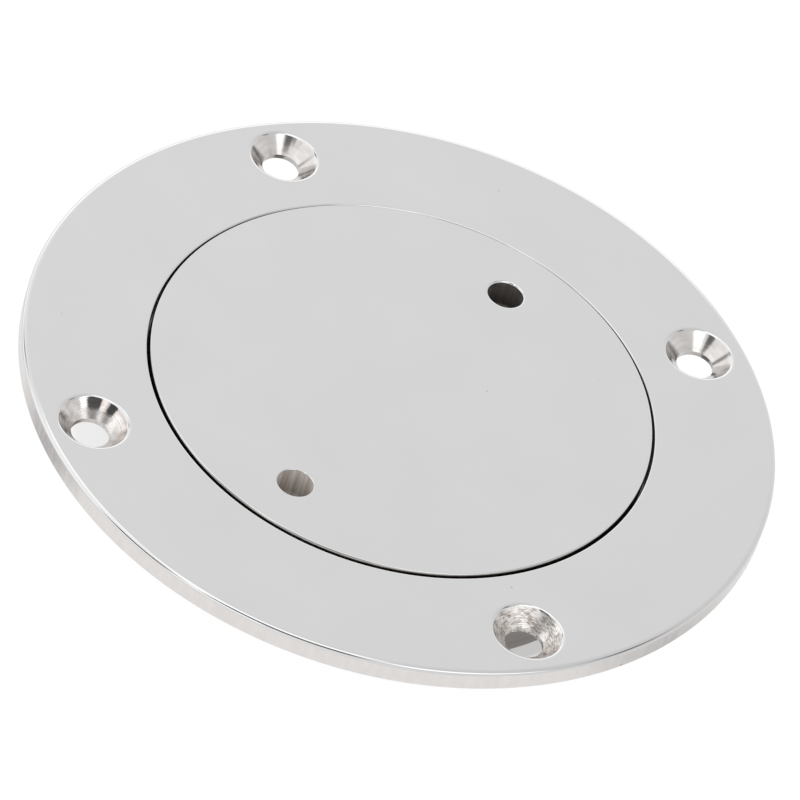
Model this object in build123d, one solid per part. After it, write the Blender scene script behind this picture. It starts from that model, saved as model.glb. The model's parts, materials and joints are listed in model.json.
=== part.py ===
from build123d import *
import math
import os

os.makedirs("parts", exist_ok=True)

# Deck inspection plate: a round flange with a threaded collar, a screw-in lid and its seal.
# Millimetres, +Z up. The origin is on the axis in the deck plane, which is the flange's underside.
# +X runs through one of the screw holes.

# Flange and its screw holes, from the rim inwards
flange_diameter = 127.0
flange_thickness = 3.5
rim_land = 2.6
screw_count = 4
screw_hole = 6.4
countersink = 11.8
countersink_angle = 90.0
inner_land = 6.3

# Lid seat and collar
lid_gap = 0.35
ledge_width = 2.6
collar_wall = 1.2
collar_depth = 14.5

# Thread, a coarse right-hand one with a trapezoid ridge
thread_pitch = 3.0
thread_depth = 1.4
ridge_base = 1.6
ridge_crest = 0.7
thread_clearance = 0.3
lid_turns = 2.0
ring_turns = 2.4
ridge_margin = 0.9
ridge_root_sink = 0.3

# Lid
lid_plate = 3.2
neck_step = 0.3
neck_below_ledge = 0.4
skirt_wall = 3.0
key_hole = 6.0
key_hole_depth = 5.0
key_inset = 3.5
key_line_angle = 34.4
drill_point_angle = 118.0
boss_wall = 2.5
boss_floor = 1.5

# Seal, squeezed between the lid's plate and the ring's ledge
seal_height = 1.8
seal_clearance = 0.05
seal_inner_gap = 0.15
seal_outer_gap = 0.45

# Edge finish
rim_round = 0.6
lip_round = 0.5
recess_round = 0.25
lid_edge_round = 0.3
key_lip_round = 0.15
foot_round = 0.1
hidden_round = 0.25
root_round = 1.0
thread_chamfer = 0.5
skirt_corner_round = 1.5

# Radii, from the rim inwards
flange_r = flange_diameter / 2
screw_circle_r = flange_r - rim_land - countersink / 2
recess_r = screw_circle_r - countersink / 2 - inner_land
collar_r = recess_r + collar_wall
bore_r = recess_r - ledge_width
ring_crest_r = bore_r - thread_depth
lid_r = recess_r - lid_gap
lid_crest_r = bore_r - thread_clearance
lid_root_r = ring_crest_r - thread_clearance
neck_r = lid_crest_r - neck_step
skirt_inner_r = lid_root_r - skirt_wall
key_circle_r = skirt_inner_r - key_inset
boss_r = key_hole / 2 + boss_wall
seal_inner_r = neck_r + seal_inner_gap
seal_outer_r = recess_r - seal_outer_gap

# Heights above the deck plane
top = flange_thickness
plate_bottom = top - lid_plate
seal_top = plate_bottom - seal_clearance
seal_bottom = seal_top - seal_height
ledge = seal_bottom - seal_clearance
neck_bottom = ledge - neck_below_ledge
lid_ridge_start = neck_bottom - ridge_margin - lid_turns * thread_pitch
skirt_bottom = lid_ridge_start - ridge_margin
ring_ridge_start = lid_ridge_start - thread_pitch / 2
drill_point = key_hole / 2 / math.tan(math.radians(drill_point_angle / 2))
boss_bottom = top - key_hole_depth - drill_point - boss_floor

SAME = 1e-4


def turned(section):
    """Solid of revolution about Z from a half section of (radius, height) points."""
    face = make_face(Plane.XZ * Polyline(*section, close=True))
    return revolve(face, Axis.Z)


def circles(solid, radius, height):
    """The round edges of a solid that have this radius and lie at this height."""
    rounds = solid.edges().filter_by(GeomType.CIRCLE)
    return [e for e in rounds if abs(e.radius - radius) < SAME and abs(e.arc_center.Z - height) < SAME]


def rounded(solid, radius, height, size):
    return fillet(circles(solid, radius, height), size)


def chamfered(solid, radius, height, size):
    return chamfer(circles(solid, radius, height), size)


def thread_ridge(root_r, crest_r, start, turns):
    """Helical ridge that stands on a round wall: its foot is sunk into that wall."""
    into_wall = ridge_root_sink if crest_r < root_r else -ridge_root_sink
    foot = root_r + into_wall
    section = make_face(
        Plane.XZ
        * Polyline(
            (foot, -ridge_base / 2),
            (foot, ridge_base / 2),
            (crest_r, ridge_crest / 2),
            (crest_r, -ridge_crest / 2),
            close=True,
        )
    )
    helix = Helix(thread_pitch, turns * thread_pitch, root_r)
    return Pos(0, 0, start) * sweep(section, helix, is_frenet=True)


def screw_hole_cutter():
    """Through hole with its countersink, open at both faces of the flange."""
    slope = math.tan(math.radians(countersink_angle / 2))
    land_top = top - (countersink - screw_hole) / 2 / slope
    above = rim_round
    return turned(
        [
            (0, -above),
            (screw_hole / 2, -above),
            (screw_hole / 2, land_top),
            (countersink / 2 + above * slope, top + above),
            (0, top + above),
        ]
    )


def deck_ring():
    """Flange and collar in one piece, with the lid's recess, the seal's ledge and the thread."""
    body = turned(
        [
            (recess_r, top),
            (flange_r, top),
            (flange_r, 0),
            (collar_r, 0),
            (collar_r, -collar_depth),
            (bore_r, -collar_depth),
            (bore_r, ledge),
            (recess_r, ledge),
        ]
    )
    body = rounded(body, flange_r, top, rim_round)
    body = rounded(body, flange_r, 0, foot_round)
    body = rounded(body, recess_r, top, recess_round)
    body = rounded(body, collar_r, 0, root_round)
    body = rounded(body, collar_r, -collar_depth, hidden_round)
    body = chamfered(body, bore_r, -collar_depth, thread_chamfer)
    body = chamfered(body, bore_r, ledge, thread_chamfer)
    cutter = screw_hole_cutter()
    body -= [place * cutter for place in PolarLocations(screw_circle_r, screw_count)]
    body = rounded(body, countersink / 2, top, lip_round)
    return body + thread_ridge(bore_r, ring_crest_r, ring_ridge_start, ring_turns)


def key_hole_cutter():
    """Blind drilled hole, with the cone that the drill's point leaves."""
    shoulder = top - key_hole_depth
    above = lid_edge_round
    return turned(
        [
            (0, shoulder - drill_point),
            (key_hole / 2, shoulder),
            (key_hole / 2, top + above),
            (0, top + above),
        ]
    )


def key_boss():
    """Round boss under a key hole, as tall as the drilled hole needs."""
    height = plate_bottom - boss_bottom + lid_plate / 2
    return Pos(0, 0, boss_bottom) * Cylinder(boss_r, height, align=(Align.CENTER, Align.CENTER, Align.MIN))


def lid():
    """Plate, neck and threaded skirt in one piece, with a boss under each blind key hole."""
    body = turned(
        [
            (0, top),
            (lid_r, top),
            (lid_r, plate_bottom),
            (neck_r, plate_bottom),
            (neck_r, neck_bottom),
            (lid_root_r, neck_bottom),
            (lid_root_r, skirt_bottom),
            (skirt_inner_r, skirt_bottom),
            (skirt_inner_r, plate_bottom),
            (0, plate_bottom),
        ]
    )
    body = rounded(body, lid_r, top, lid_edge_round)
    body = rounded(body, lid_r, plate_bottom, hidden_round)
    body = chamfered(body, lid_root_r, skirt_bottom, thread_chamfer)
    body = rounded(body, skirt_inner_r, plate_bottom, skirt_corner_round)
    places = PolarLocations(key_circle_r, 2, start_angle=key_line_angle)
    within_skirt = turned(
        [
            (0, skirt_bottom),
            (lid_root_r - skirt_wall / 2, skirt_bottom),
            (lid_root_r - skirt_wall / 2, plate_bottom + lid_plate / 2),
            (0, plate_bottom + lid_plate / 2),
        ]
    )
    body += [(place * key_boss()) & within_skirt for place in places]
    body -= [place * key_hole_cutter() for place in places]
    body = rounded(body, key_hole / 2, top, key_lip_round)
    return body + thread_ridge(lid_root_r, lid_crest_r, lid_ridge_start, lid_turns)


def o_ring():
    """Rubber ring with flats where it is squeezed and round sides."""
    width = seal_outer_r - seal_inner_r
    section = SlotOverall(width, seal_height)
    middle = ((seal_inner_r + seal_outer_r) / 2, (seal_top + seal_bottom) / 2)
    return revolve(Plane.XZ * (Pos(*middle) * section), Axis.Z)


pieces = {"deck_ring": deck_ring(), "lid": lid(), "o_ring": o_ring()}
for name, solid in pieces.items():
    export_step(solid, f"parts/{name}.step")
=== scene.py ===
import json
import math

import bpy
import numpy as np
from mathutils import Matrix, Vector
from mathutils.geometry import delaunay_2d_cdt


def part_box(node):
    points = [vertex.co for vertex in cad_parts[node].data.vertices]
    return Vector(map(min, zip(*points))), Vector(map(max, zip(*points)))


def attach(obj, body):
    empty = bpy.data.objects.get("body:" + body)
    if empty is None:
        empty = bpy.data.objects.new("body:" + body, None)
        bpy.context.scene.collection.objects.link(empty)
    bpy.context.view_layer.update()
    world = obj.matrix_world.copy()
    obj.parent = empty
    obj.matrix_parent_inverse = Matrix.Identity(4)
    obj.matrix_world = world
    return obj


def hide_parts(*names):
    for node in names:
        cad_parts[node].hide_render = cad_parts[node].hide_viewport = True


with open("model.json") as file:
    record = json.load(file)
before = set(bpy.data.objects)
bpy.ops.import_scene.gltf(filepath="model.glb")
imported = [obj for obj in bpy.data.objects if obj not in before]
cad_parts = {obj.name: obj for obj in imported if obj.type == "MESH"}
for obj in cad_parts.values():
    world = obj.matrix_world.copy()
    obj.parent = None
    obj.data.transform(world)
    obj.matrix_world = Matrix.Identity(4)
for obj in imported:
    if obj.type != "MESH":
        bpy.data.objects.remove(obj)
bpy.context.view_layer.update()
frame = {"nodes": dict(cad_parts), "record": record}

# Deck inspection plate in cast and buffed stainless steel: a flange with its collar, a screw-in lid
# and a rubber seal. Sizes are millimetres until a mesh is finished, with +Z up and the origin on the
# axis in the deck plane.
MM = 0.001
mounts = {m["name"]: m for m in frame["record"]["mounts"]}
ring_low, ring_high = (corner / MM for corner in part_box("deck_ring"))
lid_low, lid_high = (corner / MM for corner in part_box("lid"))

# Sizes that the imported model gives
flange_r = ring_high.x
top = ring_high.z
collar_bottom = ring_low.z
lid_r = lid_high.x
skirt_bottom = lid_low.z
collar_r = mounts["collar"]["dims"]["r_mm"]
screw_circle_r = mounts["screw_circle"]["dims"]["pcd_mm"] / 2
screw_hole_r = mounts["screw_circle"]["dims"]["hole_r_mm"]
screw_count = mounts["screw_circle"]["dims"]["count"]
key_places = [Vector(mounts[name]["pos_m"]) / MM for name in ("key_hole_near", "key_hole_far")]
key_hole_r = mounts["key_hole_near"]["dims"]["r_mm"]
key_hole_depth = mounts["key_hole_near"]["dims"]["length_mm"]

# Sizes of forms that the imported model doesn't state
countersink_r = 5.9
countersink_tilt = 45.0
lid_gap = 0.35
ledge_width = 2.6
ledge = -1.6
neck_bottom = -2.0
neck_r = 39.6
plate_bottom = 0.3
skirt_wall = 3.0
boss_wall = 2.5
boss_floor = 1.5
drill_point_angle = 118.0
thread_pitch = 3.0
thread_depth = 1.4
thread_clearance = 0.3
ridge_base = 1.6
ridge_crest = 0.7
ridge_fade = 30.0
lid_ridge_start = -8.9
lid_turns = 2.0
ring_turns = 2.4

# Edge rounds and chamfers. The lid's edge is narrow on the side that it is off centre toward, given
# in degrees from +X. The bow is how many degrees a countersink's slope loses on its way down.
rim_round = 0.6
rim_roll = 0.95
lip_round = 0.85
recess_round = 0.3
lid_edge_narrow = 0.08
lid_edge_wide = 0.45
lid_edge_height = 0.8
lid_edge_shift = 0.28
lid_edge_shift_toward = 58.0
key_lip_rounds = (0.2, 0.42)
foot_round = 0.1
hidden_round = 0.25
countersink_bow = 5.0
root_round = 1.0
thread_chamfer = 0.5
skirt_corner_round = 1.5

# Sizes worked out from those
recess_r = lid_r + lid_gap
bore_r = recess_r - ledge_width
ring_crest_r = bore_r - thread_depth
lid_crest_r = bore_r - thread_clearance
lid_root_r = ring_crest_r - thread_clearance
skirt_inner_r = lid_root_r - skirt_wall
boss_r = key_hole_r + boss_wall
drill_point = key_hole_r / math.tan(math.radians(drill_point_angle / 2))
boss_bottom = top - key_hole_depth - drill_point - boss_floor
land_top = top - (countersink_r - screw_hole_r)
mouth_r = countersink_r + lip_round * math.tan(math.radians(countersink_tilt / 2))
ring_ridge_start = lid_ridge_start - thread_pitch / 2
lid_wall_top = top - lid_edge_height - lid_edge_shift

# Heights on a countersink where its rings end and its tears begin, depths on the lid's edge where its
# painted shade of the seam starts and where it is full, and how much of the radius counts in a tool's feed
clean_above = 2.3
torn_below = 1.7
seam_shade_start_depth = 0.03
seam_shade_full_depth = 0.32
radius_share = 0.7

# How finely round forms are divided
BODY_SIDES = 360
HOLE_SIDES = 128
ROUND_STEPS = 6
EDGE_STEPS = 12
SLOPE_STEPS = 8
SAME = 1e-4

# How far a cutter reaches past the face that it starts from
beyond = 1.0

# Places of the finishes in each mesh's list of materials
BUFFED, RIM, SHADED_SATIN, LIGHTENED_SEAT, THREAD, EDGE, SMOOTH_CONE, RINGED_CONE, CHATTER_CONE = range(9)
NEAR_LIGHTENED_WALL, NEAR_SHADED_POINT, FAR_SHADED_WALL, FAR_SHADED_POINT = range(9, 13)


def profile(corners):
    """Straight and rounded spans of an outline that is walked with the metal on its left.

    A corner is (radius, height, round size, finish of the round, finish of the line after it). A
    span is (finish, points), and a point is (radius, height, and where it faces as radius, height)."""
    places = [np.array(corner[:2], float) for corner in corners]
    spans, start = [], places[0]
    for i in range(1, len(corners)):
        size = corners[i][2]
        ahead = (places[i] - places[i - 1]) / np.linalg.norm(places[i] - places[i - 1])
        facing = np.array([ahead[1], -ahead[0]])
        turn = 0.0
        if size:
            after = places[i + 1] - places[i]
            turn = math.atan2(ahead[0] * after[1] - ahead[1] * after[0], ahead @ after)
        end = places[i] - ahead * size * math.tan(abs(turn) / 2)
        spans.append((corners[i - 1][4], [(*start, *facing), (*end, *facing)]))
        start = end
        if size:
            radius = math.copysign(size, turn)
            centre = end - facing * radius
            points = []
            for k in range(ROUND_STEPS + 1):
                c, s = math.cos(turn * k / ROUND_STEPS), math.sin(turn * k / ROUND_STEPS)
                now = np.array([facing[0] * c - facing[1] * s, facing[0] * s + facing[1] * c])
                points.append((*(centre + radius * now), *now))
            spans.append((corners[i][3], points))
            start = centre + radius * now
    return spans


def ring_of(radius, height, facing_r, facing_z, centre=(0, 0), sides=BODY_SIDES):
    """Places round a level circle, and where the surface faces at each. The radius and the facings
    may be one number or one for each place. The last place is the first again."""
    angle = np.arange(sides + 1) * 2 * math.pi / sides
    angle[-1] = 0
    cos, sin, one = np.cos(angle), np.sin(angle), np.ones(sides + 1)
    places = np.stack([centre[0] + radius * cos, centre[1] + radius * sin, height * one], axis=1)
    return places, np.stack([facing_r * cos, facing_r * sin, facing_z * one], axis=1)


class Skin:
    """Faces gathered in millimetres, with the true direction of the surface at each corner."""

    def __init__(self):
        self.corners, self.facing, self.finish, self.axis = [], [], [], []

    def face(self, corners, facing, finish, axis=(0, 0)):
        """One face, turned so that its front looks the way its corners face."""
        far = len(corners) // 2
        front = np.cross(np.subtract(corners[far], corners[0]), np.subtract(corners[-1], corners[1]))
        if len(corners) == 3:
            front = np.cross(np.subtract(corners[1], corners[0]), np.subtract(corners[2], corners[0]))
        if front @ np.sum(facing, axis=0) < 0:
            corners, facing = corners[::-1], facing[::-1]
        self.corners.append(corners)
        self.facing.append(facing)
        self.finish.append(finish)
        self.axis.append(axis)

    def quad(self, points, facing, finish, axis=(0, 0)):
        """Face of four corners, or of three where two of them are one point."""
        kept = [k for k in range(4) if np.abs(points[k] - points[k - 1]).max() > SAME]
        if len(kept) > 2:
            self.face([points[k] for k in kept], [facing[k] for k in kept], finish, axis)

    def turned(self, corners, sides=BODY_SIDES, centre=(0, 0)):
        """An outline turned about an upright axis. A line whose finish is None stays open."""
        for finish, points in profile(corners):
            if finish is not None:
                self.bands([ring_of(*point, centre, sides) for point in points], finish, centre)

    def bands(self, rings, finish, centre=(0, 0)):
        """Faces from each ring of (places, facings) to the next. A ring ends where it begins."""
        for (low, low_facing), (high, high_facing) in zip(rings, rings[1:]):
            for i in range(len(low) - 1):
                points = [low[i], low[i + 1], high[i + 1], high[i]]
                facing = [low_facing[i], low_facing[i + 1], high_facing[i + 1], high_facing[i]]
                self.quad(points, facing, finish, centre)

    def flat(self, height, up, finish, outer, holes=()):
        """Level face inside one circle and outside others, each (x, y, radius, sides)."""
        points, edges = [], []
        for x, y, r, sides in (outer, *holes):
            first = len(points)
            for i in range(sides):
                a = 2 * math.pi * i / sides
                points.append(Vector((x + r * math.cos(a), y + r * math.sin(a))))
                edges.append((first + i, first + (i + 1) % sides))
        facing = np.array([0, 0, 1 if up else -1], float)
        if not holes:
            self.face([np.array([*p, height]) for p in points], [facing] * len(points), finish)
            return
        places, _, faces, *_ = delaunay_2d_cdt(points, edges, [], 0, SAME / 10)
        for corners in faces:
            middle = sum((places[i] for i in corners), Vector((0, 0))) / len(corners)
            if not any((middle - Vector((x, y))).length < r for x, y, r, _ in holes):
                self.face([np.array([*places[i], height]) for i in corners], [facing] * 3, finish)

    def threaded(self, root_r, crest_r, low, high, start, turns):
        """Round wall with a helical ridge. Its rows follow the helix, so the ridge keeps its edges."""
        half_base, half_crest = ridge_base / 2, ridge_crest / 2
        offsets = [-half_base, -half_crest, 0.0, half_crest, half_base, thread_pitch / 2]
        # Rows begin and end beyond the wall, and are held to its ends
        first = math.floor((low - start) / thread_pitch) - 2
        last = math.ceil((high - start) / thread_pitch) + 2
        columns = np.arange(-1, BODY_SIDES + 2)
        angle = 2 * math.pi * columns / BODY_SIDES
        rows = []
        for k in range(first, last):
            along = k + columns / BODY_SIDES
            fade = np.clip(np.minimum(along, turns - along) * 360 / ridge_fade, 0, 1)
            rise = (crest_r - root_r) * fade * fade * (3 - 2 * fade)
            for offset in offsets:
                z = start + along * thread_pitch + offset
                inside = (z > low) & (z < high) & (abs(offset) <= half_crest)
                r = root_r + np.where(inside, rise, 0)
                rows.append(np.stack([r * np.cos(angle), r * np.sin(angle), np.clip(z, low, high)], axis=1))
        side = math.copysign(1, crest_r - root_r)
        outward = side * np.stack([np.cos(angle), np.sin(angle), 0 * angle], axis=1)[1:-1]
        for below, above in zip(rows, rows[1:]):
            along_row = (below[2:] - below[:-2]) + (above[2:] - above[:-2])
            below, above = below[1:-1], above[1:-1]
            facing = np.cross(along_row, above - below)
            length = np.linalg.norm(facing, axis=1)
            facing[length < SAME] = outward[length < SAME]
            facing /= np.linalg.norm(facing, axis=1)[:, None]
            facing *= np.sign(np.sum(facing * outward, axis=1))[:, None]
            for i in range(BODY_SIDES):
                ring = [below[i], below[i + 1], above[i + 1], above[i]]
                self.quad(ring, [facing[i], facing[i + 1], facing[i + 1], facing[i]], THREAD)

    def piece(self, name, inside_out=False):
        """Blender object in metres, with its points joined where they meet."""
        index, points, faces = {}, [], []
        for corners in self.corners:
            face = []
            for p in corners:
                key = tuple(np.round(p / SAME).astype(int))
                if key not in index:
                    index[key] = len(points)
                    points.append(p * MM)
                face.append(index[key])
            faces.append(face[::-1] if inside_out else face)
        facing = [face[::-1] if inside_out else face for face in self.facing]
        mesh = bpy.data.meshes.new(name)
        mesh.from_pydata(points, [], faces)
        axis = [(*axis, 0.0) for axis, face in zip(self.axis, faces) for _ in face]
        layers = {"true_facing": np.concatenate(facing), "hole_axis": np.array(axis) * MM}
        for title, values in layers.items():
            layer = mesh.attributes.new(title, "FLOAT_VECTOR", "CORNER")
            layer.data.foreach_set("vector", values.astype(np.float32).ravel())
        for finish in FINISHES:
            mesh.materials.append(finish)
        mesh.polygons.foreach_set("material_index", self.finish)
        mesh.update()
        made = bpy.data.objects.new(name, mesh)
        bpy.context.scene.collection.objects.link(made)
        return made


def combine(piece, operation, others):
    """Joins closed pieces to a closed piece or cuts them out of it, and keeps the outcome."""
    for other in others:
        step = piece.modifiers.new(operation, "BOOLEAN")
        step.operation = operation
        step.solver = "EXACT"
        step.object = other
    state = bpy.context.evaluated_depsgraph_get()
    seen = piece.evaluated_get(state)
    mesh = bpy.data.meshes.new_from_object(seen, preserve_all_data_layers=True, depsgraph=state)
    piece.modifiers.clear()
    piece.data = mesh
    for other in others:
        bpy.data.objects.remove(other)


def face_as_made(piece):
    """Gives a mesh the surface directions that its faces were made with."""
    mesh = piece.data
    layer = mesh.attributes["true_facing"]
    facing = np.zeros(len(mesh.loops) * 3, np.float32)
    layer.data.foreach_get("vector", facing)
    facing = facing.reshape(-1, 3)
    facing /= np.linalg.norm(facing, axis=1)[:, None]
    mesh.attributes.remove(layer)
    mesh.polygons.foreach_set("use_smooth", [True] * len(mesh.polygons))
    mesh.normals_split_custom_set(facing.tolist())


# Materials. A noise's scale is how many of its marks lie on a millimetre.


def linear(code):
    """Linear colour of an sRGB hex code."""
    parts = [int(code[i : i + 2], 16) / 255 for i in (0, 2, 4)]
    return (*(c / 12.92 if c <= 0.04045 else ((c + 0.055) / 1.055) ** 2.4 for c in parts), 1.0)


def connect(tree, node, **sockets):
    """Gives sockets a value or another node's outcome. i0, i1 and so on name sockets by place."""
    for key, value in sockets.items():
        socket = node.inputs[int(key[1:])] if key[1:].isdigit() else node.inputs[key.replace("_", " ")]
        if isinstance(value, bpy.types.Node):
            value = value.outputs[0]
        if isinstance(value, bpy.types.NodeSocket):
            tree.links.new(value, socket)
        else:
            socket.default_value = value
    return node


def add(tree, kind, settings=None, **sockets):
    """Adds a node with its settings, values and links."""
    node = tree.nodes.new(kind)
    for key, value in (settings or {}).items():
        setattr(node, key, value)
    return connect(tree, node, **sockets)


def metal(name, colour, roughness):
    """New bare metal, with its tree and its shader."""
    material = bpy.data.materials.new(name)
    material.use_nodes = True
    tree = material.node_tree
    shader = tree.nodes["Principled BSDF"]
    connect(tree, shader, Metallic=1.0, Base_Color=linear(colour), Roughness=roughness)
    return material, tree, shader


def place_mm(tree, own_axis=False):
    """Place on the piece in millimetres, from its own origin or from the axis of its hole."""
    place = add(tree, "ShaderNodeTexCoord").outputs["Object"]
    if own_axis:
        axis = add(tree, "ShaderNodeAttribute", {"attribute_name": "hole_axis"}).outputs["Vector"]
        place = add(tree, "ShaderNodeVectorMath", {"operation": "SUBTRACT"}, i0=place, i1=axis)
    return add(tree, "ShaderNodeVectorMath", {"operation": "SCALE"}, i0=place, Scale=1 / MM)


def tool_path(tree, place, marks_round, feed_mm):
    """Coordinates that follow a tool round an axis: slow along its path and quick across it.

    Marks made from them come marks_round times in a radian and lie feed_mm apart. The feed runs
    with the height and with part of the radius, so that walls, slopes and level faces all show it."""
    level = add(tree, "ShaderNodeVectorMath", {"operation": "MULTIPLY"}, i0=place, i1=(1, 1, 0))
    turn = add(tree, "ShaderNodeVectorMath", {"operation": "NORMALIZE"}, i0=level)
    turn = add(tree, "ShaderNodeVectorMath", {"operation": "SCALE"}, i0=turn, Scale=marks_round)
    radius = add(tree, "ShaderNodeVectorMath", {"operation": "LENGTH"}, i0=level).outputs["Value"]
    height = add(tree, "ShaderNodeSeparateXYZ", i0=place).outputs["Z"]
    feed = add(tree, "ShaderNodeMath", {"operation": "MULTIPLY_ADD"}, i0=radius, i1=radius_share, i2=height)
    feed = add(tree, "ShaderNodeMath", {"operation": "MULTIPLY"}, i0=feed, i1=1 / feed_mm)
    feed = add(tree, "ShaderNodeCombineXYZ", Z=feed)
    return add(tree, "ShaderNodeVectorMath", {"operation": "ADD"}, i0=turn, i1=feed)


def tinted(tree, pattern, low, high, dark, light):
    """Colour that goes from dark to light while a pattern's value goes from low to high."""
    amount = add(tree, "ShaderNodeMapRange", i0=pattern, i1=low, i2=high)
    colours = {"i6": linear(dark), "i7": linear(light)}
    return add(tree, "ShaderNodeMix", {"data_type": "RGBA"}, i0=amount, **colours).outputs[2]


def pitted(tree, place, colour, pit, spacing, floor_r, edge_r):
    """Colour with the pinholes of a casting: how far apart they lie, and the radius of each one's
    floor and edge, in millimetres."""
    holes = add(tree, "ShaderNodeTexVoronoi", i0=place, Scale=1 / spacing).outputs["Distance"]
    sound = add(tree, "ShaderNodeMapRange", i0=holes, i1=floor_r / spacing, i2=edge_r / spacing)
    return add(tree, "ShaderNodeMix", {"data_type": "RGBA"}, i0=sound, i6=linear(pit), i7=colour).outputs[2]


def mirror_buffed():
    """Cast stainless buffed to a mirror: an even reflection, with a faint cloud every 14 mm where the
    mop passed and a few pinholes of the casting, drawn 0.3 mm wide because finer ones wouldn't show."""
    material, tree, shader = metal("mirror_buffed_stainless", "d4d4d4", 0.09)
    place = place_mm(tree)
    cloud = add(tree, "ShaderNodeTexNoise", i0=place, Scale=0.07, Detail=3.0)
    colour = tinted(tree, cloud, 0.3, 0.7, "d3d3d3", "d5d5d5")
    colour = pitted(tree, place, colour, "a8a8a6", 6.25, 0.075, 0.175)
    dull = add(tree, "ShaderNodeMapRange", i0=cloud, i1=0.3, i2=0.7, i3=0.08, i4=0.1)
    connect(tree, shader, Base_Color=colour, Roughness=dull)
    return material


def buffed_rim():
    """Turned edge gone over with a coarse mop: softer reflections, warm from the compound, with faint
    streaks 1 mm wide down the edge and pinholes 0.4 mm wide, a little coarser than the real ones."""
    material, tree, shader = metal("buffed_rim_stainless", "e0dddb", 0.2)
    place = place_mm(tree)
    streaks = add(tree, "ShaderNodeTexNoise", i0=tool_path(tree, place, 60.0, 4.0), Scale=1.0, Detail=5.0)
    colour = tinted(tree, streaks, 0.3, 0.7, "e3dfdd", "e9e6e4")
    colour = pitted(tree, place, colour, "a09c98", 4.0, 0.12, 0.24)
    dull = add(tree, "ShaderNodeMapRange", i0=streaks, i1=0.3, i2=0.7, i3=0.16, i4=0.24)
    connect(tree, shader, Base_Color=colour, Roughness=dull)
    return material


def turned_steel(name, dark, light, roughness, feed_mm, depth_mm, own_axis=False):
    """Stainless cut on a lathe and left so: marks that run round the axis and spread the light. The
    real feed is about 0.1 mm, too fine to show, so it is drawn 0.3 mm wide or more."""
    material, tree, shader = metal(name, light, roughness)
    path = tool_path(tree, place_mm(tree, own_axis), 1.0, feed_mm)
    marks = add(tree, "ShaderNodeTexNoise", i0=path, Scale=1.0, Detail=2.0)
    bump = add(tree, "ShaderNodeBump", Strength=1.0, Distance=depth_mm * MM, Height=marks)
    connect(tree, shader, Base_Color=tinted(tree, marks, 0.3, 0.7, dark, light), Normal=bump)
    return material


def turned_lid_edge():
    """Turned edge of the lid: its top was caught by the mop and has the face's buffed tone, and below it
    the colour darkens with depth, a painted shade of the seam. The tool left flecks that are drawn 1 mm
    long and half a millimetre high, coarser than they are."""
    material, tree, shader = metal("turned_lid_edge_stainless", "75706b", 0.2)
    place = place_mm(tree)
    marks = add(tree, "ShaderNodeTexNoise", i0=tool_path(tree, place, 40.0, 0.5), Scale=1.0, Detail=2.0)
    cut = tinted(tree, marks, 0.3, 0.7, "5d5854", "8d8782")
    height = add(tree, "ShaderNodeSeparateXYZ", i0=place).outputs["Z"]
    # Painted shade: the colour goes from the face's tone at the top to the dark cut below, down into the
    # seam
    below = add(tree, "ShaderNodeMapRange", i0=height, i1=top - seam_shade_start_depth, i2=top - seam_shade_full_depth)
    colour = add(tree, "ShaderNodeMix", {"data_type": "RGBA"}, i0=below, i6=linear("d4d4d4"), i7=cut)
    bump = add(tree, "ShaderNodeBump", Strength=1.0, Distance=0.004 * MM, Height=marks)
    connect(tree, shader, Base_Color=colour.outputs[2], Normal=bump)
    return material


def ringed_cone():
    """Countersink cut with a light feed: bright rings near the lip, torn and duller metal below. The
    rings are drawn 0.16 mm apart and the tears 0.4 mm, as coarse as they need to be to show."""
    material, tree, shader = metal("ringed_countersink_stainless", "dcd9d6", 0.15)
    place = place_mm(tree, True)
    rings = add(tree, "ShaderNodeTexNoise", i0=tool_path(tree, place, 0.7, 0.16), Scale=1.0, Detail=1.0)
    tears = add(tree, "ShaderNodeTexNoise", i0=tool_path(tree, place, 9.0, 0.4), Scale=1.0, Detail=3.0)
    height = add(tree, "ShaderNodeSeparateXYZ", i0=place).outputs["Z"]
    torn = add(tree, "ShaderNodeMapRange", i0=height, i1=clean_above, i2=torn_below)
    marks = add(tree, "ShaderNodeMix", {"data_type": "FLOAT"}, i0=torn, i2=rings, i3=tears)
    stain = add(tree, "ShaderNodeTexNoise", i0=place, Scale=0.45, Detail=2.0)
    shade = add(tree, "ShaderNodeMath", {"operation": "MULTIPLY_ADD"}, i0=marks, i1=0.8, i2=stain)
    dull = add(tree, "ShaderNodeMapRange", i0=torn, i1=0.0, i2=1.0, i3=0.1, i4=0.3)
    bump = add(tree, "ShaderNodeBump", Strength=1.0, Distance=0.014 * MM, Height=marks)
    colour = tinted(tree, shade, 0.65, 1.15, "b9b1ac", "eae8e6")
    connect(tree, shader, Base_Color=colour, Roughness=dull, Normal=bump)
    return material


def chattered_cone():
    """Countersink whose cutter chattered: torn rings 0.2 mm apart that break into bright and dark
    strokes 0.5 to 0.9 mm long. Both are drawn a little coarser than they are, or they would blur."""
    material, tree, shader = metal("chattered_countersink_stainless", "d9d6d2", 0.36)
    place = place_mm(tree, True)
    rings = add(tree, "ShaderNodeTexNoise", i0=tool_path(tree, place, 1.5, 0.2), Scale=1.0, Detail=2.0)
    strokes = add(tree, "ShaderNodeTexNoise", i0=tool_path(tree, place, 6.5, 0.18), Scale=1.0, Detail=3.0)
    marks = add(tree, "ShaderNodeMath", {"operation": "MULTIPLY_ADD"}, i0=strokes, i1=0.8, i2=rings)
    stain = add(tree, "ShaderNodeTexNoise", i0=place, Scale=0.6, Detail=2.0)
    shade = add(tree, "ShaderNodeMath", {"operation": "MULTIPLY_ADD"}, i0=strokes, i1=1.3, i2=stain)
    bump = add(tree, "ShaderNodeBump", Strength=1.0, Distance=0.009 * MM, Height=marks)
    connect(tree, shader, Base_Color=tinted(tree, shade, 0.9, 1.3, "978d87", "f1eeeb"), Normal=bump)
    return material


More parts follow.
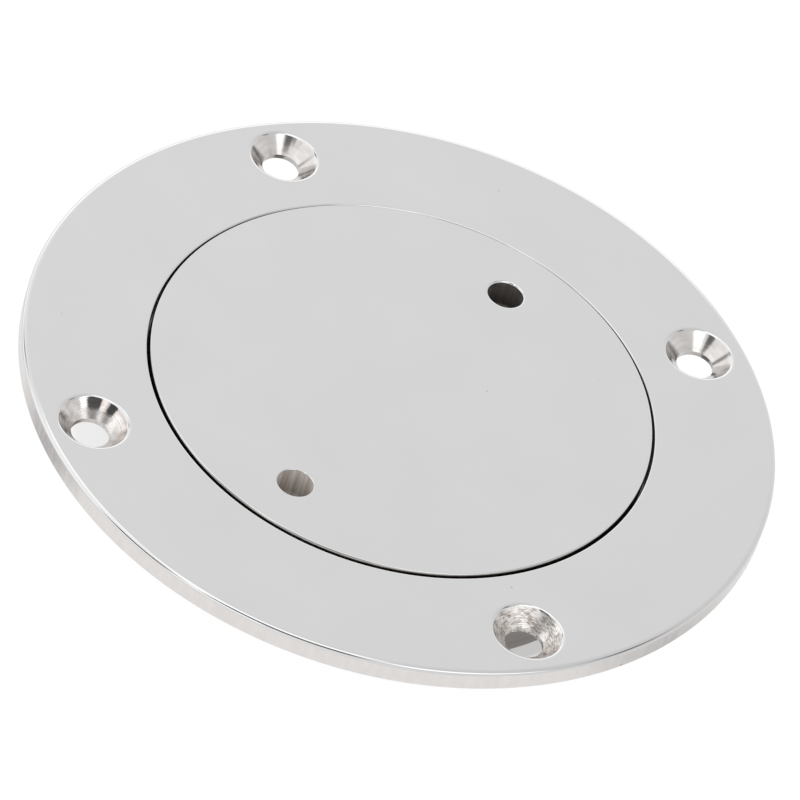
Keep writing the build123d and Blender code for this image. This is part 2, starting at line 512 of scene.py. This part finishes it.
def drilled_wall(name, dark, light, metallic):
    """Wall of a drilled hole: streaks down the wall where the drill's margin burnished it, and faint
    rings 0.25 mm apart, under a brownish film of buffing compound that dulls it. Its copies differ in
    tone and metallic share by how light falls: lighter, less metallic ones are painted light, darker ones
    painted shade."""
    material, tree, shader = metal(name, light, 0.42)
    place = place_mm(tree, True)
    streaks = add(tree, "ShaderNodeTexNoise", i0=tool_path(tree, place, 2.2, 50.0), Scale=1.0, Detail=3.0)
    rings = add(tree, "ShaderNodeTexNoise", i0=tool_path(tree, place, 0.5, 0.25), Scale=1.0, Detail=1.0)
    bump = add(tree, "ShaderNodeBump", Strength=1.0, Distance=0.004 * MM, Height=rings)
    colour = tinted(tree, streaks, 0.4, 0.62, dark, light)
    connect(tree, shader, Base_Color=colour, Metallic=metallic, Normal=bump)
    return material


def moulded_rubber():
    """Nitrile moulded in a blasted tool: dull black with a fine even grain, 0.08 mm wide."""
    material = bpy.data.materials.new("moulded_nitrile_rubber")
    material.use_nodes = True
    tree = material.node_tree
    place = place_mm(tree)
    shade = add(tree, "ShaderNodeTexNoise", i0=place, Scale=1.5, Detail=2.0)
    pits = add(tree, "ShaderNodeTexNoise", i0=place, Scale=12.0, Detail=2.0)
    bump = add(tree, "ShaderNodeBump", Strength=1.0, Distance=0.01 * MM, Height=pits)
    colour = tinted(tree, shade, 0.0, 1.0, "161616", "242424")
    connect(tree, tree.nodes["Principled BSDF"], Base_Color=colour, Roughness=0.6, IOR=1.52, Normal=bump)
    return material


# In the order of the finishes' places. The hidden outsides are grey, darkened further as painted shade
# under the flange; the recess that the lid drops into is brighter, painted light that lifts the dark seam;
# and the thread is cut cleaner than either. Two countersinks were polished with the top and keep only broad
# soft marks.
FINISHES = [
    mirror_buffed(),
    buffed_rim(),
    # Partly painted shade: turned satin, its grey darkened for the shade under the flange
    turned_steel("turned_satin_stainless", "7f7b77", "a39f9b", 0.32, 0.35, 0.006),
    # Painted light: the recess's wall is lightened to lift the dark core of the seam
    turned_steel("turned_seat_stainless", "b0aaa4", "d2cdc7", 0.35, 0.3, 0.006),
    turned_steel("cut_thread_stainless", "96928e", "bdbab6", 0.28, 0.3, 0.004),
    turned_lid_edge(),
    turned_steel("smooth_countersink_stainless", "c6c2bf", "dcd9d7", 0.15, 1.4, 0.01, own_axis=True),
    ringed_cone(),
    chattered_cone(),
    # Key holes: the near wall is painted lighter, painted light, and the far wall darker, painted shade
    drilled_wall("near_drilled_stainless", "c3bab2", "fffbf8", 0.18),
    # Painted shade: the drill points at the bottom of the key holes are darker than their walls
    drilled_wall("near_drill_point_stainless", "76706c", "948e8a", 0.9),
    drilled_wall("far_drilled_stainless", "aca6a3", "ccc7c3", 0.95),
    drilled_wall("far_drill_point_stainless", "3f3c3a", "55514e", 0.95),
]


# Deck ring

screw_places = []
for number in range(screw_count):
    turn = 2 * math.pi * number / screw_count
    screw_places.append((screw_circle_r * math.cos(turn), screw_circle_r * math.sin(turn)))
# Round from +X: the right and the top hole are smooth, the left one is ringed, the near one torn
hole_cones = [SMOOTH_CONE, SMOOTH_CONE, RINGED_CONE, CHATTER_CONE]


def rolled_edge(radius, width, height, centre=(0, 0)):
    """Rings of an edge that rolls over from a wall to the top face, as a quarter of an ellipse."""
    rings = []
    for k in range(EDGE_STEPS + 1):
        a = math.pi / 2 * k / EDGE_STEPS
        out_r, out_z = height * math.cos(a), width * math.sin(a)
        length = np.hypot(out_r, out_z)
        place_r, place_z = radius - width * (1 - math.cos(a)), top - height * (1 - math.sin(a))
        rings.append(ring_of(place_r, place_z, out_r / length, out_z / length, centre))
    return rings


def countersink(centre):
    """Rings down a countersink: its buffed lip, then a slope that is a little steeper near the lip."""
    rings = []
    steep = math.radians(countersink_tilt + countersink_bow / 2)
    for k in range(ROUND_STEPS + 1):
        tilt = steep * k / ROUND_STEPS
        rings.append(ring_of(mouth_r - lip_round * math.sin(tilt), top - lip_round * (1 - math.cos(tilt)),
                             -math.sin(tilt), math.cos(tilt), centre, HOLE_SIDES))
    radius, height = mouth_r - lip_round * math.sin(steep), top - lip_round * (1 - math.cos(steep))
    across, down = radius - screw_hole_r, height - land_top
    chord = math.atan2(down, across)
    for k in range(1, SLOPE_STEPS + 1):
        share = k / SLOPE_STEPS
        sag = math.tan(math.radians(countersink_bow / 2)) * math.hypot(across, down) * share * (1 - share)
        tilt = chord + math.radians(countersink_bow) * (0.5 - share)
        rings.append(ring_of(radius - across * share + sag * math.sin(chord),
                             height - down * share - sag * math.cos(chord),
                             -math.sin(tilt), math.cos(tilt), centre, HOLE_SIDES))
    return rings


def build_deck_ring():
    """Flange and collar, with the lid's recess, the seal's ledge, the thread and four screw holes."""
    skin = Skin()
    skin.turned([
        (bore_r, collar_bottom + thread_chamfer, 0, None, SHADED_SATIN),
        (bore_r + thread_chamfer, collar_bottom, 0, None, SHADED_SATIN),
        (collar_r, collar_bottom, hidden_round, SHADED_SATIN, SHADED_SATIN),
        (collar_r, 0, root_round, SHADED_SATIN, None),
        (flange_r, 0, foot_round, RIM, RIM),
        (flange_r, top - rim_round, 0, None, None),
    ])
    skin.bands(rolled_edge(flange_r, rim_roll, rim_round), BUFFED)
    skin.turned([
        (flange_r, top, 0, None, None),
        (recess_r, top, recess_round, BUFFED, LIGHTENED_SEAT),
        (recess_r, ledge, 0, None, LIGHTENED_SEAT),
        (bore_r + thread_chamfer, ledge, 0, None, LIGHTENED_SEAT),
        (bore_r, ledge - thread_chamfer, 0, None, None),
    ])
    low, high = collar_bottom + thread_chamfer, ledge - thread_chamfer
    skin.threaded(bore_r, ring_crest_r, low, high, ring_ridge_start, ring_turns)
    for centre, cone in zip(screw_places, hole_cones):
        rings = countersink(centre)
        skin.bands(rings[: ROUND_STEPS + 1], BUFFED, centre)
        skin.bands(rings[ROUND_STEPS:], cone, centre)
        land = [(screw_hole_r, land_top, 0, None, cone), (screw_hole_r, 0, 0, None, None)]
        skin.turned(land, HOLE_SIDES, centre)
    inner = (0, 0, recess_r + recess_round, BODY_SIDES)
    mouths = [(*centre, mouth_r, HOLE_SIDES) for centre in screw_places]
    skin.flat(top, True, BUFFED, (0, 0, flange_r - rim_roll, BODY_SIDES), [inner, *mouths])
    inner = (0, 0, collar_r + root_round, BODY_SIDES)
    mouths = [(*centre, screw_hole_r, HOLE_SIDES) for centre in screw_places]
    skin.flat(0, False, SHADED_SATIN, (0, 0, flange_r - foot_round, BODY_SIDES), [inner, *mouths])
    ring = skin.piece("deck_ring_cast_and_turned")
    face_as_made(ring)
    return ring


# Lid


def lid_edge():
    """Rings of the lid's edge. It was turned a little off centre, so the gap and the edge vary round it."""
    heading = math.radians(lid_edge_shift_toward)
    centre = (lid_edge_shift * math.cos(heading), lid_edge_shift * math.sin(heading))
    angle = np.arange(BODY_SIDES + 1) * 2 * math.pi / BODY_SIDES
    share = (1 - np.cos(angle - heading)) / 2
    width = lid_edge_narrow + (lid_edge_wide - lid_edge_narrow) * share
    rings = rolled_edge(lid_r, width, lid_edge_height, centre)
    return [ring_of(lid_r, lid_wall_top, 1, 0), *rings]


def build_lid():
    """Plate, neck and threaded skirt, with two bosses that hold the blind key holes."""
    skin = Skin()
    skin.flat(plate_bottom, False, SHADED_SATIN, (0, 0, skirt_inner_r - skirt_corner_round, BODY_SIDES))
    skin.turned([
        (0, plate_bottom, 0, None, None),
        (skirt_inner_r, plate_bottom, skirt_corner_round, SHADED_SATIN, SHADED_SATIN),
        (skirt_inner_r, skirt_bottom, 0, None, SHADED_SATIN),
        (lid_root_r - thread_chamfer, skirt_bottom, 0, None, SHADED_SATIN),
        (lid_root_r, skirt_bottom + thread_chamfer, 0, None, None),
        (lid_root_r, neck_bottom, 0, None, SHADED_SATIN),
        (neck_r, neck_bottom, 0, None, SHADED_SATIN),
        (neck_r, plate_bottom, 0, None, SHADED_SATIN),
        (lid_r, plate_bottom, hidden_round, SHADED_SATIN, SHADED_SATIN),
        (lid_r, lid_wall_top, 0, None, None),
    ])
    rings = lid_edge()
    skin.bands(rings, EDGE)
    rim = rings[-1][0][:-1]
    skin.face(list(rim), [np.array([0.0, 0.0, 1.0])] * len(rim), BUFFED)
    low, high = skirt_bottom + thread_chamfer, neck_bottom
    skin.threaded(lid_root_r, lid_crest_r, low, high, lid_ridge_start, lid_turns)
    lid = skin.piece("lid_cast_and_turned")
    bosses, drills = [], []
    plate_middle = (plate_bottom + top) / 2
    drilled = ((NEAR_LIGHTENED_WALL, NEAR_SHADED_POINT), (FAR_SHADED_WALL, FAR_SHADED_POINT))
    for place, key_lip_round, (wall, point) in zip(key_places, key_lip_rounds, drilled):
        centre = (place.x, place.y)
        boss = Skin()
        boss.flat(boss_bottom, False, SHADED_SATIN, (*centre, boss_r, HOLE_SIDES))
        boss.flat(plate_middle, True, SHADED_SATIN, (*centre, boss_r, HOLE_SIDES))
        side = [(boss_r, boss_bottom, 0, None, SHADED_SATIN), (boss_r, plate_middle, 0, None, None)]
        boss.turned(side, HOLE_SIDES, centre)
        bosses.append(boss.piece("boss"))
        drill = Skin()
        drill.flat(top + beyond, False, wall, (*centre, key_hole_r + key_lip_round, HOLE_SIDES))
        drill.turned([
            (key_hole_r + key_lip_round, top + beyond, 0, None, wall),
            (key_hole_r + key_lip_round, top, 0, None, None),
        ], HOLE_SIDES, centre)
        drill.turned([
            (key_hole_r + beyond, top, 0, None, None),
            (key_hole_r, top, key_lip_round, BUFFED, wall),
            (key_hole_r, top - key_hole_depth, 0, None, point),
            (0, top - key_hole_depth - drill_point, 0, None, None),
        ], HOLE_SIDES, centre)
        drills.append(drill.piece("drill", inside_out=True))
    combine(lid, "UNION", bosses)
    combine(lid, "DIFFERENCE", drills)
    face_as_made(lid)
    return lid


# Stage: camera, floor, light

# The camera, fitted to the edges, the seam and the screw holes of the plate: degrees, and
# millimetres for its distance, its aim and its lens
camera_azimuth = -124.7763
camera_elevation = 42.4766
camera_roll = 18.6998
camera_distance = 1127.564
camera_aim = Vector((-1.6388, -2.8658, top))
camera_lens = 310.323

# The room's light gains toward the left and loses toward the top. It is 1 where the plate reflects it
# to the camera.
room_left_gain = 0.25
room_top_loss = 0.3

# White paper floor, in millimetres and shares of full light. Under the flange it is shaded, which is
# seen only through the near and the left screw hole, and from one to the other its light changes
# evenly with the place leftward across the view.
floor_reach = 6000.0
paper_colour = (0.9, 0.9, 0.9, 1)
paper_glow = 1.05
shade_middle = (1, 5, collar_bottom)
shade_r = 50.8
shade_edge_r = 52.2
near_hole_leftward = -31.0
left_hole_leftward = 45.0
near_hole_light = 0.4
left_hole_light = 0.72
open_light = 0.93
glossy_light = 0.5


def toward(azimuth, elevation):
    """Direction from the plate towards a place in the studio, azimuth measured from the camera's."""
    a, e = math.radians(camera_azimuth + azimuth), math.radians(elevation)
    return Vector((math.cos(a) * math.cos(e), math.sin(a) * math.cos(e), math.sin(e)))


def place_camera():
    camera = bpy.data.objects.new("camera", bpy.data.cameras.new("camera"))
    bpy.context.scene.collection.objects.link(camera)
    camera.data.lens = camera_lens
    camera.data.clip_start = 0.01
    camera.data.clip_end = 20
    back = toward(0, camera_elevation)
    camera.rotation_mode = "QUATERNION"
    level = back.to_track_quat("Z", "Y")
    camera.rotation_quaternion = level @ Matrix.Rotation(math.radians(camera_roll), 3, "Z").to_quaternion()
    camera.location = (camera_aim + back * camera_distance) * MM
    bpy.context.scene.camera = camera


def glowing(name, strength, fade):
    """Even light that fades out toward the edges of a card, over a share of its width and height."""
    paint = bpy.data.materials.new(name)
    paint.use_nodes = True
    tree = paint.node_tree
    tree.nodes.clear()
    light = add(tree, "ShaderNodeEmission", Color=(1, 1, 1, 1), Strength=strength)
    place = add(tree, "ShaderNodeSeparateXYZ", i0=add(tree, "ShaderNodeTexCoord").outputs["UV"])
    solid = 1.0
    for axis in ("X", "Y"):
        inward = add(tree, "ShaderNodeMath", {"operation": "PINGPONG"}, i0=place.outputs[axis], i1=0.5)
        edge = add(tree, "ShaderNodeMapRange", i0=inward, i1=0.0, i2=fade)
        solid = add(tree, "ShaderNodeMath", {"operation": "MULTIPLY"}, i0=edge, i1=solid)
    clear = add(tree, "ShaderNodeBsdfTransparent")
    both = add(tree, "ShaderNodeMixShader", i0=solid, i1=clear, i2=light)
    add(tree, "ShaderNodeOutputMaterial", Surface=both)
    return paint


def card(name, x, y, z, faces, width, height, strength, level=False, fade=0.06):
    """Studio card with soft edges, placed in millimetres. It shows only in reflections.

    faces is the way that it looks, in degrees from +X, and a level card looks straight down and up."""
    mesh = bpy.data.meshes.new(name)
    w, h = width * MM / 2, height * MM / 2
    mesh.from_pydata([(0, -w, -h), (0, w, -h), (0, w, h), (0, -w, h)], [], [(0, 1, 2, 3)])
    uv = mesh.uv_layers.new(name="card")
    uv.data.foreach_set("uv", [0, 0, 1, 0, 1, 1, 0, 1])
    mesh.materials.append(glowing(name, strength, fade))
    thing = bpy.data.objects.new(name, mesh)
    bpy.context.scene.collection.objects.link(thing)
    thing.location = (x * MM, y * MM, z * MM)
    thing.rotation_euler = (0, math.radians(90 if level else 0), math.radians(faces))
    thing.visible_camera = False
    thing.visible_diffuse = False
    thing.visible_shadow = False


def hang_cards():
    """Cards that the polished metal reflects: lamps, and the dark things of a studio near the plate.

    The near and left ones put the bright and dark bands into the countersinks. The high and far ones
    whiten the lips and the rolled rim, and the low ones, dark cards just above the floor, darken the foot
    of the rim in its reflection; the right one is a painted shadow of the plate on the floor."""
    just_above_floor = collar_bottom + 0.3
    card("near_flag", -67, -68, 114, 60, 74, 144, 0.11)
    card("right_lamp", 27, -156, 250, 56, 140, 340, 1.7)
    card("left_gap_lamp", -165, -100, 150, 31, 75, 110, 1.7)
    card("left_flag", -187, -16, 118, 6, 76, 104, 0.09)
    card("gap_flag", -182, -110, 200, 31, 85, 130, 0.08)
    card("left_lamp", -175, 96, 270, -29, 200, 400, 1.25)
    card("back_left_lamp", -68, 251, 460, -75, 170, 330, 1.5)
    card("top_lamp", -200, -43, 700, 55, 480, 600, 1.5, level=True)
    card("back_lamp", 309, 882, 260, 235, 1000, 460, 1.5)
    card("right_flag", 635, -294, 700, 155, 400, 420, 0.05, fade=0.35)
    card("left_foot_flag", -73, 12, just_above_floor, -16, 40, 8, 0.45, level=True, fade=0.4)
    # Painted shadow: a dark card where the floor holds the plate's shadow, seen in the foot of the rim
    card("right_foot_flag", 39, -61, just_above_floor, -49, 60, 16, 0.55, level=True, fade=0.5)
    card("back_left_flag", -190, 300, 190, -58, 150, 170, 0.3, fade=0.3)


def light_room():
    """World that lights the plate nearly evenly, as a tent of white cloth does."""
    world = bpy.data.worlds.new("studio")
    world.use_nodes = True
    tree = world.node_tree
    direction = add(tree, "ShaderNodeTexCoord").outputs["Generated"]
    side = toward(-90, 0) * room_left_gain - Vector((0, 0, room_top_loss))
    even = 1.0 + room_top_loss * math.sin(math.radians(camera_elevation))
    slant = add(tree, "ShaderNodeVectorMath", {"operation": "DOT_PRODUCT"}, i0=direction, i1=side)
    light = add(tree, "ShaderNodeMath", {"operation": "ADD"}, i0=slant.outputs["Value"], i1=even)
    connect(tree, tree.nodes["Background"], Color=(1, 1, 1, 1), Strength=light)
    bpy.context.scene.world = world


def lay_floor():
    """White paper sweep. The camera and the metal see it lit, and the plate's shadow stays on it."""
    mesh = bpy.data.meshes.new("floor")
    signs = ((-1, -1), (1, -1), (1, 1), (-1, 1))
    corners = [Vector((x * floor_reach, y * floor_reach, collar_bottom)) * MM for x, y in signs]
    mesh.from_pydata(corners, [], [(0, 1, 2, 3)])
    floor = bpy.data.objects.new("floor", mesh)
    bpy.context.scene.collection.objects.link(floor)
    paper = bpy.data.materials.new("white_paper_sweep")
    paper.use_nodes = True
    tree = paper.node_tree
    tree.nodes.clear()
    place = place_mm(tree)
    out = add(tree, "ShaderNodeVectorMath", {"operation": "DISTANCE"}, i0=place, i1=shade_middle)
    opened = add(tree, "ShaderNodeMapRange", i0=out.outputs["Value"], i1=shade_r, i2=shade_edge_r)
    left = add(tree, "ShaderNodeVectorMath", {"operation": "DOT_PRODUCT"}, i0=place, i1=toward(-90, 0))
    under = add(
        tree, "ShaderNodeMapRange", i0=left.outputs["Value"], i1=near_hole_leftward, i2=left_hole_leftward,
        i3=near_hole_light, i4=left_hole_light,
    )
    lit = add(tree, "ShaderNodeMix", {"data_type": "FLOAT"}, i0=opened, i2=under, i3=open_light)
    rays = add(tree, "ShaderNodeLightPath")
    seen, glossy = rays.outputs["Is Camera Ray"], rays.outputs["Is Glossy Ray"]
    share = add(tree, "ShaderNodeMath", {"operation": "MULTIPLY"}, i0=seen, i1=lit)
    share = add(tree, "ShaderNodeMath", {"operation": "MULTIPLY_ADD"}, i0=glossy, i1=glossy_light, i2=share)
    paint = add(tree, "ShaderNodeBsdfDiffuse", Color=paper_colour)
    glow = add(tree, "ShaderNodeEmission", Color=(1, 1, 1, 1), Strength=paper_glow)
    both = add(tree, "ShaderNodeMixShader", i0=share, i1=paint, i2=glow)
    add(tree, "ShaderNodeOutputMaterial", Surface=both)
    mesh.materials.append(paper)


bpy.context.scene.view_settings.view_transform = "Standard"
ring = build_deck_ring()
lid = build_lid()
for piece, node, body in ((ring, "deck_ring", "deck_ring"), (lid, "lid", "lid")):
    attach(piece, body)
    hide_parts(node)
seal = frame["nodes"]["o_ring"]
seal.material_slots[0].material = moulded_rubber()
place_camera()
light_room()
lay_floor()
hang_cards()
